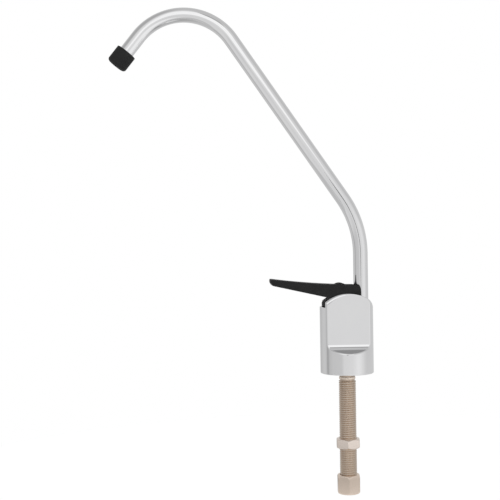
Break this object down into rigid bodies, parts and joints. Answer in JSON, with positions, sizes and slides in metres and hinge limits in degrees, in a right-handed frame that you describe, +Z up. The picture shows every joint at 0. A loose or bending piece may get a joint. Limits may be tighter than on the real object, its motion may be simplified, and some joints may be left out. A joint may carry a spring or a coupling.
{
  "type": "drinking water filter tap",
  "caption": "Deck-mounted drinking water tap with a flat-sided chromed body, black lift lever, swivelling bent tube spout and threaded shank with nuts.",
  "frame": {"origin": "centre of the body's underside, on the shank's axis, in the plane of the sink's surface", "axes": "+Z up along the shank, -Y towards the user, the way the spout and the lever point"},
  "size_m": [0.0346, 0.1688, 0.3172],
  "materials": {
    "chrome": "polished",
    "nickel": "nickel plated",
    "black_plastic": "satin moulded",
    "rubber": "matt",
    "brass": "turned",
    "steel": "drawn"
  },
  "bodies": {
    "body": {"body": "chrome", "base_seal": "rubber", "shank": "nickel", "shank_seal": "rubber", "valve_seat": "brass", "bonnet": "brass", "bonnet_seal": "rubber", "stem_seal": "rubber", "return_spring": "steel"},
    "stem": {"valve_stem": "brass", "seat_washer": "rubber", "washer_screw": "steel", "pivot_pin": "steel"},
    "lever": {"lever": "black_plastic"},
    "spout": {"spout_tube": "chrome", "spout_tip": "black_plastic", "spout_spigot": "brass", "spout_seal_lower": "rubber", "spout_seal_upper": "rubber"},
    "lock_nut": {"lock_nut": "nickel"},
    "compression_nut": {"compression_nut": "nickel", "ferrule": "brass"}
  },
  "joints": [
    {"name": "stem_lift", "type": "slide", "parent": "body", "child": "stem", "axis": [0, 0, 1], "range_m": [0, 0.002], "deforming": ["return_spring"]},
    {"name": "lever_lift", "type": "hinge", "parent": "stem", "child": "lever", "pos_m": [0, -0.0055, 0.0488], "axis": [-1, 0, 0], "range_deg": [0, 75]},
    {"name": "spout_swivel", "type": "hinge", "parent": "body", "child": "spout", "pos_m": [0, 0.00975, 0.029], "axis": [0, 0, 1], "continuous": true},
    {"name": "lock_nut_travel", "type": "slide", "parent": "body", "child": "lock_nut", "axis": [0, 0, 1], "range_m": [-0.0155, 0.036]},
    {"name": "compression_nut_travel", "type": "slide", "parent": "body", "child": "compression_nut", "axis": [0, 0, -1], "range_m": [0, 0.012]}
  ],
  "couplings": [
    {"joint": "lever_lift", "follows": "stem_lift", "rad_per_m": 654.5}
  ]
}
